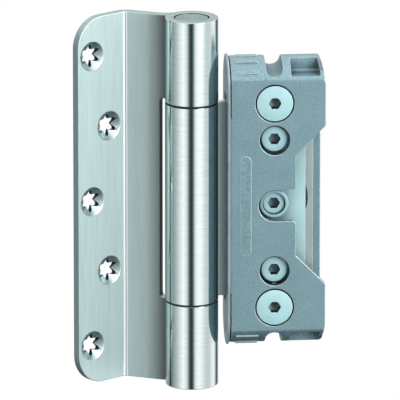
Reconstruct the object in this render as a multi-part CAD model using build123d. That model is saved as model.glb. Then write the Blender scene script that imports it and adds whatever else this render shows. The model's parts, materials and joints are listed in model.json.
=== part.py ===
from build123d import *
import os
from math import cos, radians, sin, sqrt, tan

# Door hinge with a receiver that is milled into the frame. Lengths in millimetres.
# The origin is on the pin's axis at mid-length. +X runs from the barrel into the
# frame, +Y runs away from the side where the screws are turned, +Z is up.

# Barrel: three knuckles in line
barrel_length = 160.0
knuckle_radius = 11.25
sheet_thickness = 3.75
middle_knuckle_length = 86.2
knuckle_gap = 0.6
seam_gap = 0.2
edge_break = 0.4

# Pin, its bushes and the sockets that hold its ends
pin_radius = 6.0
pin_end_margin = 6.0
running_clearance = 0.05
bush_length = 20.0
collar_inset = 0.25
socket_recess = 0.3

# Door leaf: an inner flap that leaves the barrel and an outer flap with the screws
inner_flap_turn = 25.6
outer_flap_turn = 35.0
front_face_offset = 0.7
fold_distance = 30.0
fold_radius = 2.0
outer_flap_width = 25.2
leaf_corner_radius = 13.0
back_blend_radius = 9.0
slot_reach = 14.2
slot_corner_radius = 1.8

# Screw holes in the outer flap, in a zigzag
screw_hole_pitch = 31.65
screw_hole_count = 5
outer_column = 17.75
inner_column = 8.55
countersink_radius = 6.5
star_tip_radius = 4.6
star_waist_radius = 2.9
star_points = 6

# Travel of the three adjustments, each way
side_travel = 3.0
height_travel = 3.0
depth_travel = 2.0
lift_per_radian = 3.0

# Receiver housing
housing_width = 39.9
housing_depth = 25.0
housing_end_radius = 13.8
housing_height = 124.6
front_wall = 2.7
back_wall = 2.5
right_wall = 2.0
end_block = 10.8
right_shoulder_inset = 1.4
right_shoulder_drop = 9.8
right_shoulder_radius = 3.0
rib_inset = 4.4

# Window in the front wall
window_edge_inset = 12.5
window_half_height = 22.0
keyhole_half_height = 6.8
keyhole_corner_radius = 1.6

# Shallow raised oblong on the front wall
oblong_inset = 3.8
oblong_width = 4.6
oblong_length = 43.6
oblong_rise = 0.25

# Features of the rounded ends
screw_channel_radius = 3.5
screw_channel_drop = 3.0
pocket_inset = 14.5
pocket_width = 12.4
pocket_depth = 6.3
pocket_back_inset = 3.0
pocket_fillet = 1.4
grip_rib_inset = 2.2
grip_rib_length = 9.5
grip_rib_width = 1.7
grip_rib_rise = 0.6
grip_rib_angles = (41.0, 66.0, 91.0)

# Side flange
flange_thickness = 0.8
flange_clearance = 0.25
flange_slot_corner = 0.4
flange_side_inset = 0.8
flange_overhang = 0.9
flange_peg_radius = 2.2
flange_peg_inset = 7.0

# Flag plate on the middle knuckle
flag_front = 2.0
flag_end_margin = 2.3
flag_step = 5.9
flag_shoulder_inset = 4.2
flag_window_radius = 15.2
flag_blend_radius = 5.0
flag_corner_radius = 3.0

# Screw column in the receiver
column_inset = 18.4
compression_screw_inset = 17.8
screw_spacing = 16.0
hex_across_flats = 5.0
hex_depth = 3.2

# Compression screws
compression_head_radius = 8.0
compression_head_thickness = 2.5
compression_head_gap = 0.2
compression_shank_radius = 3.0
compression_boss_radius = 9.8
compression_boss_depth = 5.0
retaining_ring_thickness = 0.8
retaining_ring_width = 2.0

# Nuts in the carriage
nut_across_flats = 10.0
nut_thickness = 4.0

# Carriage, a plate just in front of the flag plate
carriage_thickness = 4.4
carriage_right_reach = 13.8
carriage_left_gap = 1.5
slide_gap = 0.1
lug_width = 2.0
lug_clearance = 0.3
lug_height = 8.0
lug_spread = 12.2

# Height spindles and their cams
height_head_depth = 2.8
height_barrel_radius = 5.65
height_hole_radius = 6.4
height_shank_radius = 2.5
height_tail_radius = 1.5
height_tail_length = 2.0
cam_mean_radius = 5.0
cam_spare_turn = 3.0
cam_steps = 6
washer_radius = 7.5
washer_thickness = 0.8
back_hole_radius = 8.0

# Side spindle and its collar
side_head_depth = 5.0
side_barrel_radius = 4.85
side_collar_depth = 3.3
side_collar_radius = 6.25
follower_thickness = 1.85

# Height plate, a cross slide behind the flag plate
height_plate_thickness = 2.5
height_plate_left_reach = 10.7
height_plate_right_reach = 11.8
height_lip_thickness = 1.5
height_ear_length = 9.5
height_ear_gap = 5.5

# Places that follow from the sizes above
knuckle_bore_radius = knuckle_radius - sheet_thickness
middle_half = middle_knuckle_length / 2
barrel_half = barrel_length / 2
door_knuckle_start = middle_half + knuckle_gap
flag_back = flag_front + sheet_thickness
housing_left = knuckle_radius + side_travel + flange_thickness + flange_clearance * 3
housing_front = -knuckle_radius
housing_back = housing_front + housing_depth
housing_middle_y = housing_front + housing_depth / 2
housing_right = housing_left + housing_width
housing_half = housing_height / 2
end_centre_z = housing_half - housing_end_radius
cavity_front = housing_front + front_wall
cavity_back = housing_back - back_wall
cavity_half = housing_half - end_block
flange_left = housing_left - flange_thickness - flange_clearance * 2
flange_right = flange_left + flange_thickness
flange_height = housing_height + flange_overhang * 2
flange_radius = housing_end_radius - flange_side_inset
column_x = housing_left + column_inset
compression_screw_z = housing_half - compression_screw_inset
height_spindle_z = compression_screw_z - screw_spacing
window_edge_x = housing_right - window_edge_inset
height_ear_top = cavity_half - height_ear_gap
flag_inner_height = (height_ear_top - height_ear_length) * 2
flag_height = flag_inner_height + flag_step * 2
flag_length = column_x + flag_window_radius + flag_end_margin
flag_shoulder_x = housing_left + flag_shoulder_inset
rib_half_height = flag_height / 2 - rib_inset
carriage_left = housing_left + carriage_left_gap
carriage_right = column_x + carriage_right_reach
height_plate_left = column_x - height_plate_left_reach
height_plate_right = column_x + height_plate_right_reach
height_lip_inner = flag_inner_height / 2 + slide_gap
height_lip_outer = height_lip_inner + height_lip_thickness
carriage_back = flag_front - slide_gap
carriage_front = carriage_back - carriage_thickness
height_plate_front = flag_back + slide_gap
height_plate_back = height_plate_front + height_plate_thickness
cam_turn = side_travel / lift_per_radian


def box_between(low, high):
    """A box from its lowest corner to its highest."""
    size = [b - a for a, b in zip(low, high)]
    middle = [(a + b) / 2 for a, b in zip(low, high)]
    return Pos(*middle) * Box(*size)


def rod_x(radius, x_from, x_to, y, z):
    """A rod along X."""
    return Pos((x_from + x_to) / 2, y, z) * Rot(0, 90, 0) * Cylinder(radius, x_to - x_from)


def rod_y(radius, y_from, y_to, x, z):
    """A rod along Y."""
    return Pos(x, (y_from + y_to) / 2, z) * Rot(90, 0, 0) * Cylinder(radius, y_to - y_from)


def rod_z(radius, z_from, z_to):
    """A rod on the pin's axis."""
    return Pos(0, 0, (z_from + z_to) / 2) * Cylinder(radius, z_to - z_from)


def facing_plane(y, x=column_x, z=0.0):
    """A plane across Y whose sketch axes are X and Z, with its normal towards -Y."""
    return Plane(origin=(x, y, z), x_dir=(1, 0, 0), z_dir=(0, -1, 0))


def slab(sketch, y_from, y_to, x=0.0, z=0.0):
    """A sketch in X and Z made into a plate between two values of Y."""
    return extrude(facing_plane(y_to, x, z) * sketch, amount=y_to - y_from)


def upper_and_lower(solid):
    """The solid and its mirror image below mid-height."""
    return [solid, mirror(solid, about=Plane.XY)]


def direction(angle):
    """The unit vector at an angle from +X, seen from above."""
    return Vector(cos(radians(angle)), sin(radians(angle)), 0)


def hex_socket(y_face, x, z):
    """The hexagon recess in a screw head."""
    outline = Rot(0, 0, 30) * RegularPolygon(hex_across_flats / 2, 6, major_radius=False)
    return slab(outline, y_face - 1, y_face + hex_depth, x, z)


def leaf_plane():
    """Plane of the door leaf's section: x out along the inner flap, y to its front."""
    return Plane(origin=(0, 0, 0), x_dir=direction(180 - inner_flap_turn), z_dir=(0, 0, 1))


def outer_flap_plane():
    """Plane on the outer flap's front face, at the fold and at mid-height."""
    base = leaf_plane()
    fold = base.from_local_coords(Vector(fold_distance, front_face_offset, 0))
    outward = direction(180 + outer_flap_turn)
    front = direction(outer_flap_turn - 90)
    return Plane(origin=fold, x_dir=outward, z_dir=front)


def leaf_section():
    """The door leaf's bent section, without its knuckle."""
    bend = inner_flap_turn + outer_flap_turn
    setback = fold_radius * tan(radians(bend / 2))
    centre = Vector(fold_distance - setback, front_face_offset + fold_radius)
    out = Vector(cos(radians(bend)), sin(radians(bend)))
    back = Vector(sin(radians(bend)), -cos(radians(bend)))
    outer_radius = fold_radius + sheet_thickness
    half_back = Vector(sin(radians(bend / 2)), -cos(radians(bend / 2)))
    straight = outer_flap_width - setback
    start = knuckle_bore_radius
    back_y = front_face_offset - sheet_thickness
    front_bend_end = centre + back * fold_radius
    back_bend_end = centre + back * outer_radius
    front_end = front_bend_end + out * straight
    back_end = back_bend_end + out * straight
    outline = [
        Line((start, front_face_offset), (centre.X, front_face_offset)),
        ThreePointArc((centre.X, front_face_offset), centre + half_back * fold_radius, front_bend_end),
        Line(front_bend_end, front_end),
        Line(front_end, back_end),
        Line(back_end, back_bend_end),
        ThreePointArc(back_bend_end, centre + half_back * outer_radius, (centre.X, back_y)),
        Line((centre.X, back_y), (start, back_y)),
        Line((start, back_y), (start, front_face_offset)),
    ]
    return make_face(outline)


def back_blend(back_y, radius):
    """Fills the hollow between a plate's back at back_y (below 0) and the knuckle."""
    reach = knuckle_radius + radius
    centre = Vector(sqrt(reach ** 2 - (radius - back_y) ** 2), back_y - radius)
    touch = centre * (knuckle_radius / reach)
    corner = Vector(knuckle_bore_radius, back_y)
    triangle = make_face(Polyline(corner, (centre.X, back_y), centre, touch, corner))
    return triangle - Pos(centre.X, centre.Y) * Circle(radius)


def door_leaf():
    """Bent plate with its upper and lower knuckles rolled from the same sheet."""
    section = leaf_section() + Circle(knuckle_radius)
    section += back_blend(front_face_offset - sheet_thickness, back_blend_radius)
    section -= Circle(knuckle_bore_radius)
    seam = Pos((knuckle_bore_radius + knuckle_radius) / 2, front_face_offset + seam_gap / 2)
    section -= seam * Rectangle(sheet_thickness + 1, seam_gap)
    section_plane = leaf_plane().offset(-barrel_half)
    leaf = extrude(section_plane * section, amount=barrel_length)
    leaf -= middle_knuckle_slot()
    leaf -= flap_corners()
    for index in range(screw_hole_count):
        leaf -= screw_hole(index)
    return leaf


def middle_knuckle_slot():
    """Clears the middle knuckle out of the door leaf, square to the inner flap."""
    across = 2 * knuckle_radius + 4
    plane = leaf_plane()
    front = Plane(origin=(0, 0, 0), x_dir=plane.x_dir, z_dir=plane.y_dir)
    width = slot_reach + across / 2
    outline = RectangleRounded(width, 2 * door_knuckle_start, slot_corner_radius)
    square_end = Pos(-width / 4, 0) * Rectangle(width / 2, 2 * door_knuckle_start)
    sketch = Pos((slot_reach - across / 2) / 2, 0) * (outline + square_end)
    return extrude(front * sketch, amount=across / 2, both=True)


def flap_corners():
    """What is taken off the outer flap's two corners to round them."""
    radius = leaf_corner_radius
    corner = Pos(outer_flap_width - radius / 2, barrel_half - radius / 2) * Rectangle(radius, radius)
    corner -= Pos(outer_flap_width - radius, barrel_half - radius) * Circle(radius)
    both = [corner, mirror(corner, about=Plane.XZ)]
    return [extrude(outer_flap_plane() * piece, amount=2 * sheet_thickness, both=True) for piece in both]


def screw_hole_place(index):
    """Place of a screw hole on the outer flap: distance from the fold and height."""
    column = outer_column if index % 2 == 0 else inner_column
    return column, (index - (screw_hole_count - 1) / 2) * screw_hole_pitch


def star_outline():
    """Opening with sharp points and rounded lobes between them."""
    arcs = []
    step = 360 / star_points
    for index in range(star_points):
        angle = 90 + index * step
        start = direction(angle) * star_tip_radius
        waist = direction(angle + step / 2) * star_waist_radius
        end = direction(angle + step) * star_tip_radius
        arcs.append(ThreePointArc(start, waist, end))
    return make_face(arcs)


def screw_hole(index):
    """A countersink with a star-shaped hole below it."""
    along, height = screw_hole_place(index)
    depth = countersink_radius - star_waist_radius
    cone = Pos(0, 0, -depth / 2) * Cone(star_waist_radius, countersink_radius, depth)
    star = extrude(star_outline(), amount=2 * sheet_thickness, both=True)
    return outer_flap_plane() * Pos(along, height, 0) * (cone + star)


def hinge_pin():
    """Straight pin through the three knuckles."""
    half = barrel_half - pin_end_margin
    pin = rod_z(pin_radius, -half, half)
    return chamfer(pin.edges(), edge_break)


def upper_pin_socket():
    """Turned plug that closes the upper knuckle and holds the pin's end."""
    top = barrel_half - socket_recess
    low = door_knuckle_start + knuckle_gap
    socket = rod_z(knuckle_bore_radius, low, top)
    socket = chamfer(socket.edges().group_by(Axis.Z)[-1], edge_break)
    return socket - rod_z(pin_radius, low - 1, barrel_half - pin_end_margin)


def upper_bearing_bush():
    """Bush in the middle knuckle, with a thrust collar between the knuckles."""
    low = middle_half - bush_length
    top = middle_half + knuckle_gap - running_clearance
    bush = rod_z(knuckle_bore_radius, low, middle_half)
    bush += rod_z(knuckle_radius - collar_inset, middle_half, top)
    return bush - rod_z(pin_radius + running_clearance, low - 1, top + 1)


def frame_leaf():
    """Flag plate rolled into the middle knuckle."""
    section = Circle(knuckle_radius)
    middle_y = (flag_front + flag_back) / 2
    length = flag_length - knuckle_bore_radius
    section += Pos(knuckle_bore_radius + length / 2, middle_y) * Rectangle(length, sheet_thickness)
    section += mirror(back_blend(-flag_back, flag_blend_radius), about=Plane.XZ)
    section -= Circle(knuckle_bore_radius)
    seam = Pos((knuckle_bore_radius + knuckle_radius) / 2, flag_front - seam_gap / 2)
    section -= seam * Rectangle(sheet_thickness + 1, seam_gap)
    leaf = extrude(Plane.XY.offset(-middle_half) * section, amount=middle_knuckle_length)
    leaf -= flag_outline_cut()
    leaf -= rod_y(flag_window_radius, flag_front - 1, flag_back + 1, column_x, 0)
    half = height_shank_radius + side_travel + slide_gap * 3
    hole = RectangleRounded(2 * half, 2 * half, height_shank_radius)
    for side in (1, -1):
        leaf -= slab(hole, flag_front - 1, flag_back + 1, column_x, side * height_spindle_z)
    return leaf


def flag_outline_cut():
    """What lies outside the flag plate's outline, seen along Y."""
    reach = middle_knuckle_length
    blank = Pos(knuckle_radius + reach / 2, 0) * Rectangle(reach, reach + 2)
    wide = flag_shoulder_x - knuckle_bore_radius
    outline = Pos(knuckle_bore_radius + wide / 2, 0) * Rectangle(wide, flag_height)
    long = flag_length - knuckle_bore_radius
    narrow = RectangleRounded(long, flag_inner_height, flag_corner_radius)
    outline += Pos(knuckle_bore_radius + long / 2, 0) * narrow
    return slab(blank - outline, flag_front - 1, flag_back + flag_blend_radius + 1)


def cam_outline():
    """Cam with flat followers above and below it that move in proportion to its turn.

    Above, a follower rests at the mean radius plus lift_per_radian times the turn.
    Below, it rests at the mean radius less the same amount.
    """
    limit = cam_turn + radians(cam_spare_turn)
    upper = []
    for step in range(-cam_steps, cam_steps + 1):
        turn = limit * step / cam_steps
        radius = cam_mean_radius + lift_per_radian * turn
        x = -radius * sin(turn) - lift_per_radian * cos(turn)
        z = radius * cos(turn) - lift_per_radian * sin(turn)
        upper.append((x, z))
    lower = [(x, -z) for x, z in reversed(upper)]
    edges = [Spline(*upper), Line(upper[-1], lower[0]), Spline(*lower), Line(lower[-1], upper[0])]
    return make_face(edges)


def cam_slot_reach():
    """Half the length of a slot that the cam turns in."""
    limit = cam_turn + radians(cam_spare_turn)
    radius = cam_mean_radius + lift_per_radian * limit
    return sqrt(radius ** 2 + lift_per_radian ** 2) + slide_gap * 2


def side_follower():
    """Disc in the flag plate's window, with an upright slot for the side cam."""
    disc = rod_y(flag_window_radius, flag_back - follower_thickness, flag_back, column_x, 0)
    reach = cam_slot_reach() + height_travel
    width = 2 * (cam_mean_radius + running_clearance)
    slot = RectangleRounded(width, 2 * reach, 1.0)
    return disc - slab(slot, flag_front, flag_back + 1, column_x, 0)


def height_plate():
    """Cross slide that carries the flag plate up and down between two lips."""
    width = height_plate_right - height_plate_left
    centre_x = (height_plate_right + height_plate_left) / 2
    outline = Pos(centre_x, 0) * Rectangle(width, 2 * height_ear_top)
    gap = 2 * (lug_spread / 2 + slide_gap)
    for side in (1, -1):
        middle = side * (height_lip_outer + height_ear_top) / 2
        notch = Rectangle(gap, height_ear_top - height_lip_outer)
        outline -= Pos(column_x, middle) * notch
    slot = RectangleRounded(2 * cam_slot_reach(), 2 * (cam_mean_radius + running_clearance), 1.0)
    for side in (1, -1):
        outline -= Pos(column_x, side * height_spindle_z) * slot
    plate = slab(outline, height_plate_front, height_plate_back)
    lip = box_between((height_plate_left, flag_front + slide_gap, height_lip_inner),
                      (height_plate_right, height_plate_front, height_lip_outer))
    return plate + upper_and_lower(lip)


def carriage():
    """Plate that moves in and out in the housing and holds the spindles."""
    width = carriage_right - carriage_left
    height = 2 * (cavity_half - slide_gap)
    outline = Pos(carriage_left + width / 2, 0) * RectangleRounded(width, height, 1.5)
    plate = slab(outline, carriage_front, carriage_back)
    lug = box_between((column_x - lug_spread / 2, carriage_back, 0),
                      (column_x - lug_spread / 2 + lug_width, height_plate_back, lug_height))
    lug_low = height_lip_outer + height_travel + lug_clearance
    lug = Pos(0, 0, lug_low) * lug
    far_side = Plane(origin=(column_x, 0, 0), z_dir=(1, 0, 0))
    plate += upper_and_lower(lug) + upper_and_lower(mirror(lug, about=far_side))
    plate -= rod_y(side_collar_radius, carriage_front - 1, carriage_back + 1, column_x, 0)
    for side in (1, -1):
        bore = height_barrel_radius + running_clearance
        plate -= rod_y(bore, carriage_front - 1, carriage_back + 1, column_x, side * height_spindle_z)
        z = side * compression_screw_z
        plate -= rod_y(compression_shank_radius + 1, carriage_front - 1, carriage_back, column_x, z)
        plate -= slab(nut_outline(), carriage_back - nut_thickness, carriage_back + 1, column_x, z)
    return plate


def nut_outline():
    """A nut's hexagon."""
    return RegularPolygon(nut_across_flats / 2, 6, major_radius=False)


def upper_carriage_nut():
    """Nut let into the carriage's back, for the compression screw."""
    nut = slab(nut_outline(), carriage_back - nut_thickness, carriage_back, column_x, compression_screw_z)
    bore = compression_shank_radius + running_clearance
    return nut - rod_y(bore, carriage_front, carriage_back + 1, column_x, compression_screw_z)


def side_collar():
    """Ring pressed into the carriage around the side spindle."""
    top = housing_front + side_collar_depth
    ring = rod_y(side_collar_radius, top, carriage_back, column_x, 0)
    ring = chamfer(ring.edges().group_by(Axis.Y)[0], edge_break)
    bore = side_barrel_radius + running_clearance
    return ring - rod_y(bore, top - 1, carriage_back + 1, column_x, 0)


def spindle_barrel(radius, head_depth, y_to, z):
    """A spindle's barrel with a broken edge and a hexagon socket."""
    face = housing_front + head_depth
    barrel = rod_y(radius, face, y_to, column_x, z)
    barrel = chamfer(barrel.edges().group_by(Axis.Y)[0], edge_break)
    return barrel - hex_socket(face, column_x, z)


def side_spindle():
    """Centre spindle: its cam pushes the flag plate sideways."""
    spindle = spindle_barrel(side_barrel_radius, side_head_depth, carriage_back, 0)
    cam = Rot(0, 0, -90) * cam_outline()
    return spindle + slab(cam, carriage_back, flag_back - running_clearance, column_x, 0)


def upper_height_spindle():
    """Upper spindle: its cam lifts and lowers the height plate."""
    z = height_spindle_z
    spindle = spindle_barrel(height_barrel_radius, height_head_depth, carriage_back, z)
    spindle += rod_y(height_shank_radius, carriage_back, height_plate_front, column_x, z)
    spindle += slab(cam_outline(), height_plate_front, height_plate_back, column_x, z)
    tail_end = height_plate_back + height_tail_length
    return spindle + rod_y(height_tail_radius, height_plate_back, tail_end, column_x, z)


def upper_height_washer():
    """Washer behind the height plate."""
    y = height_plate_back + slide_gap / 2
    washer = rod_y(washer_radius, y, y + washer_thickness, column_x, height_spindle_z)
    return washer - rod_y(height_tail_radius, y - 1, y + 2, column_x, height_spindle_z)


def split_ring(shaft_radius, y_from, z):
    """Retaining ring with a gap at its lower side."""
    y_to = y_from + retaining_ring_thickness
    ring = rod_y(shaft_radius + retaining_ring_width, y_from, y_to, column_x, z)
    ring -= rod_y(shaft_radius, y_from - 1, y_to + 1, column_x, z)
    half_gap = shaft_radius / 2
    return ring - box_between((column_x - half_gap, y_from - 1, z - 6 * half_gap),
                              (column_x + half_gap, y_to + 1, z))


def upper_height_ring():
    """Retaining ring that holds the washer on the height spindle's tail."""
    washer_back = height_plate_back + slide_gap / 2 + washer_thickness
    return split_ring(height_tail_radius, washer_back, height_spindle_z)


def compression_boss_end():
    """How far back the boss behind a compression screw's head reaches."""
    return housing_front + compression_boss_depth


def upper_compression_screw():
    """Flush screw that turns in the housing and draws the carriage in and out."""
    z = compression_screw_z
    head_back = housing_front + compression_head_thickness
    screw = rod_y(compression_head_radius, housing_front, head_back, column_x, z)
    screw = chamfer(screw.edges().group_by(Axis.Y)[0], edge_break / 2)
    screw += rod_y(compression_shank_radius, housing_front + 1, housing_back - 1, column_x, z)
    return screw - hex_socket(housing_front, column_x, z)


def upper_compression_ring():
    """Retaining ring that keeps the compression screw in its boss."""
    return split_ring(compression_shank_radius, compression_boss_end() + slide_gap / 2, compression_screw_z)


def housing_blank():
    """The housing's outer form: a deep bar with rounded ends, flat at front and back."""
    rounds = [Pos(0, side * end_centre_z) * Circle(housing_end_radius) for side in (1, -1)]
    outline = rounds[0] + rounds[1] + Rectangle(2 * housing_end_radius, 2 * end_centre_z)
    outline &= Rectangle(housing_depth, housing_height + 2)
    plane = Plane(origin=(housing_left, housing_middle_y, 0), x_dir=(0, 1, 0), z_dir=(1, 0, 0))
    return extrude(plane * outline, amount=housing_width)


def shoulder_outline():
    """The housing seen from the front, with drawn-in shoulders at its right end."""
    inner = housing_right - right_shoulder_inset
    low = housing_half - right_shoulder_drop
    upper = [(housing_left, housing_half), (inner, housing_half), (housing_right, low)]
    lower = [(x, -z) for x, z in reversed(upper)]
    outline = make_face(Polyline(*upper, *lower, close=True))
    shoulders = outline.vertices().filter_by(lambda v: v.X > housing_left + 1)
    return fillet(shoulders, right_shoulder_radius)


def cavity_cut():
    """The housing's hollow, open to the left and, at mid-height, to the right."""
    hollow = box_between((housing_left - 2, cavity_front, -cavity_half),
                         (housing_right - right_wall, cavity_back, cavity_half))
    room = flag_inner_height / 2 + height_travel + slide_gap * 3
    return hollow + box_between((housing_left, cavity_front, -room), (housing_right + 1, cavity_back, room))


def window_cut():
    """The front wall's window: a keyhole that widens to the right in 45-degree lines."""
    reach = housing_right - window_edge_x
    far = reach + 2
    wing = Polyline((window_edge_x, window_half_height), (window_edge_x + far, window_half_height + far),
                    (window_edge_x + far, -window_half_height - far), (window_edge_x, -window_half_height),
                    close=True)
    outline = make_face(wing)
    length = window_edge_x - column_x + 2
    outline += Pos(column_x + length / 2, 0) * SlotCenterToCenter(length, 2 * keyhole_half_height)
    inner = outline.vertices().filter_by(lambda v: abs(v.X - window_edge_x) < 0.1 and
                                         abs(abs(v.Y) - keyhole_half_height) < 0.1)
    outline = fillet(inner, keyhole_corner_radius)
    return slab(outline, housing_front - 1, cavity_front + 0.01)


def screw_channel():
    """Half-round channel for a fixing screw across the upper end, front to back."""
    z = housing_half - screw_channel_drop
    channel = rod_y(screw_channel_radius, housing_front - 3, housing_back + 3, column_x, z)
    mouth = box_between((column_x - screw_channel_radius, housing_front - 3, z),
                        (column_x + screw_channel_radius, housing_back + 3, z + housing_end_radius))
    return channel + mouth


def end_pocket():
    """Pocket in the front of the upper end; its right wall runs parallel to the shoulder."""
    low = housing_half - pocket_depth
    top = housing_half + 3
    pocket_left = housing_right - pocket_inset
    right = pocket_left + pocket_width
    lean = (top - low) * right_shoulder_inset / right_shoulder_drop
    outline = make_face(Polyline((pocket_left, low), (right, low), (right - lean, top), (pocket_left, top),
                                 close=True))
    pocket = slab(outline, housing_front - 3, housing_middle_y - pocket_back_inset)
    inner_edge = pocket.edges().filter_by(Axis.X).group_by(Axis.Z)[0].sort_by(Axis.Y)[-1]
    return fillet(inner_edge, pocket_fillet)


def grip_ribs():
    """Low ribs across the upper end's round, near the flange."""
    ribs = []
    length = housing_end_radius + grip_rib_rise
    for angle in grip_rib_angles:
        rib = box_between((0, -grip_rib_width / 2, length / 2), (grip_rib_length, grip_rib_width / 2, length))
        place = Pos(housing_left + grip_rib_inset, housing_middle_y, end_centre_z)
        ribs.append(place * Rot(90 - angle, 0, 0) * rib)
    return ribs


def raised_oblong():
    """Shallow raised oblong on the front wall."""
    outline = Rot(0, 0, 90) * SlotOverall(oblong_length, oblong_width)
    x = housing_left + oblong_inset + oblong_width / 2
    return slab(outline, housing_front - oblong_rise, housing_front + front_wall / 2, x, 0)


def flange_peg():
    """Peg of the housing that is riveted over the side flange."""
    z = flange_height / 2 - flange_peg_inset
    return rod_x(flange_peg_radius, flange_left, housing_left + 1, housing_middle_y, z)


def receiver_housing():
    """Cast housing that is milled into the frame."""
    body = housing_blank()
    body &= slab(shoulder_outline(), housing_front - 1, housing_back + 1)
    body += box_between((flange_right, housing_front, -rib_half_height),
                        (housing_left + 1, housing_back, rib_half_height))
    body -= cavity_cut()
    for side in (1, -1):
        boss = rod_y(compression_boss_radius, cavity_front - 1, compression_boss_end(),
                     column_x, side * compression_screw_z)
        body += boss & box_between((housing_left, cavity_front - 1, -cavity_half - 1),
                                   (housing_right, cavity_back, cavity_half + 1))
    body += upper_and_lower(flange_peg())
    for rib in grip_ribs():
        body += upper_and_lower(rib)
    body += raised_oblong()
    body -= window_cut()
    for cut in (screw_channel(), end_pocket()):
        body -= upper_and_lower(cut)
    for side in (1, -1):
        body -= housing_screw_holes(side)
    return body


def housing_screw_holes(side):
    """Holes for one end's compression screw and height spindle."""
    z = side * compression_screw_z
    head = compression_head_radius + compression_head_gap
    floor = housing_front + compression_head_thickness
    shank = compression_shank_radius + running_clearance
    holes = rod_y(head, housing_front - 1, floor, column_x, z)
    holes += rod_y(shank, housing_front, housing_back + 1, column_x, z)
    z = side * height_spindle_z
    holes += rod_y(height_hole_radius, housing_front - 1, cavity_front + 1, column_x, z)
    holes += rod_y(back_hole_radius, cavity_back - 1, housing_back + 1, column_x, z)
    return holes


def side_flange():
    """Thin plate on the housing's side, slotted for the flag plate and its travel."""
    half = flange_height / 2 - flange_radius
    outline = Rot(0, 0, 90) * SlotOverall(flange_height, 2 * flange_radius)
    slot_low = flag_front - depth_travel - flange_clearance
    slot_high = flag_back + depth_travel + flange_clearance
    slot_half = flag_height / 2 + height_travel + flange_clearance
    middle = (slot_low + slot_high) / 2 - housing_middle_y
    outline -= Pos(middle, 0) * RectangleRounded(slot_high - slot_low, 2 * slot_half, flange_slot_corner)
    for side in (1, -1):
        outline -= Pos(0, side * (half + flange_radius - flange_peg_inset)) * Circle(flange_peg_radius)
    plane = Plane(origin=(flange_left, housing_middle_y, 0), x_dir=(0, 1, 0), z_dir=(1, 0, 0))
    return extrude(plane * outline, amount=flange_thickness)


single_pieces = {
    "door_leaf": door_leaf,
    "hinge_pin": hinge_pin,
    "frame_leaf": frame_leaf,
    "side_follower": side_follower,
    "height_plate": height_plate,
    "carriage": carriage,
    "side_collar": side_collar,
    "side_spindle": side_spindle,
    "receiver_housing": receiver_housing,
    "side_flange": side_flange,
}

mirrored_pieces = {
    "pin_socket": upper_pin_socket,
    "bearing_bush": upper_bearing_bush,
    "carriage_nut": upper_carriage_nut,
    "height_washer": upper_height_washer,
    "height_ring": upper_height_ring,
    "compression_screw": upper_compression_screw,
    "compression_ring": upper_compression_ring,
}


def write_piece(name, solid):
    """Writes one piece to its own file."""
    export_step(solid, "parts/" + name + ".step")


os.makedirs("parts", exist_ok=True)
for name, make in single_pieces.items():
    write_piece(name, make())
for name, make in mirrored_pieces.items():
    upper = make()
    write_piece("upper_" + name, upper)
    write_piece("lower_" + name, mirror(upper, about=Plane.XY))
spindle = upper_height_spindle()
write_piece("upper_height_spindle", spindle)
write_piece("lower_height_spindle", Pos(0, 0, -2 * height_spindle_z) * spindle)
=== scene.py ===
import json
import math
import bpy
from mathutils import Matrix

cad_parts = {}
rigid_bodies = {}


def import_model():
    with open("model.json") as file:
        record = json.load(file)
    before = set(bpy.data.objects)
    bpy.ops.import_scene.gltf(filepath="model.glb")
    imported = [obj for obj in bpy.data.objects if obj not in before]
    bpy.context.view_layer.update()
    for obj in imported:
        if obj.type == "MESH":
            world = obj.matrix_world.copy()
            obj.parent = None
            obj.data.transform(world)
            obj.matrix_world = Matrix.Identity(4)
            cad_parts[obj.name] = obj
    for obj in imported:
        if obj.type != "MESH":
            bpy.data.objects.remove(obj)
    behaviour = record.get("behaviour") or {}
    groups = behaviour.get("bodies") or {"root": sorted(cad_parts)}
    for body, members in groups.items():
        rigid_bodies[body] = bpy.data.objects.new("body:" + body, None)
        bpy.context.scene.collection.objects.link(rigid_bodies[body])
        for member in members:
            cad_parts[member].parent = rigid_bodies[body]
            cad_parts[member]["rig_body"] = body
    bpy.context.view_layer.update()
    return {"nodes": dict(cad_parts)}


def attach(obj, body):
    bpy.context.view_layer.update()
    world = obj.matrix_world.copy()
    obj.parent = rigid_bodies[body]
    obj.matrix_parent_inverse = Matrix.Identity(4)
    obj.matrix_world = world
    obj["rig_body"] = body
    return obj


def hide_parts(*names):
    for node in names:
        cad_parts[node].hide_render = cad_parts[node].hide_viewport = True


bl_info = {
    "name": "Mill-in door hinge",
    "version": (1, 0, 0),
    "blender": (4, 5, 0),
    "location": "3D View > Sidebar > Door hinge",
    "description": "Dresses the hinge's solids in their metal finishes and sets up its studio",
    "category": "Object",
}

import bmesh
import bpy
from bpy.props import FloatProperty, IntProperty, PointerProperty, StringProperty
from mathutils import Matrix, Vector

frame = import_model()

MM = 0.001
WHITE = (1.0, 1.0, 1.0, 1.0)
SENSOR_WIDTH = 36.0  # millimetres, as Blender counts a lens

# how meshes are joined and rounded
SHARP_ANGLE = math.radians(32)
FLAT_ANGLE = math.radians(0.4)
CORNER_ANGLE = math.radians(35)
ROOM_SHARE = 0.4
EDGE_SEGMENTS = 2
MERGE_DISTANCE = 0.002 * MM
ON_SURFACE = 0.02 * MM

# the barrel
KNUCKLE_RADIUS = 11.25 * MM
KNUCKLE_WALL = 0.15 * MM
KNUCKLE_END = 43.0 * MM
KNUCKLE_JOINT = 0.2 * MM
PLUG_JOINT = 0.3 * MM
PLUG_RIM = 7.2 * MM
SEAM_TURN = math.radians(-59)
SEAM_WIDTH = 0.55 * MM
SEAM_DEPTH = 0.8 * MM
SEAM_HALF_LENGTH = 81 * MM

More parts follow.
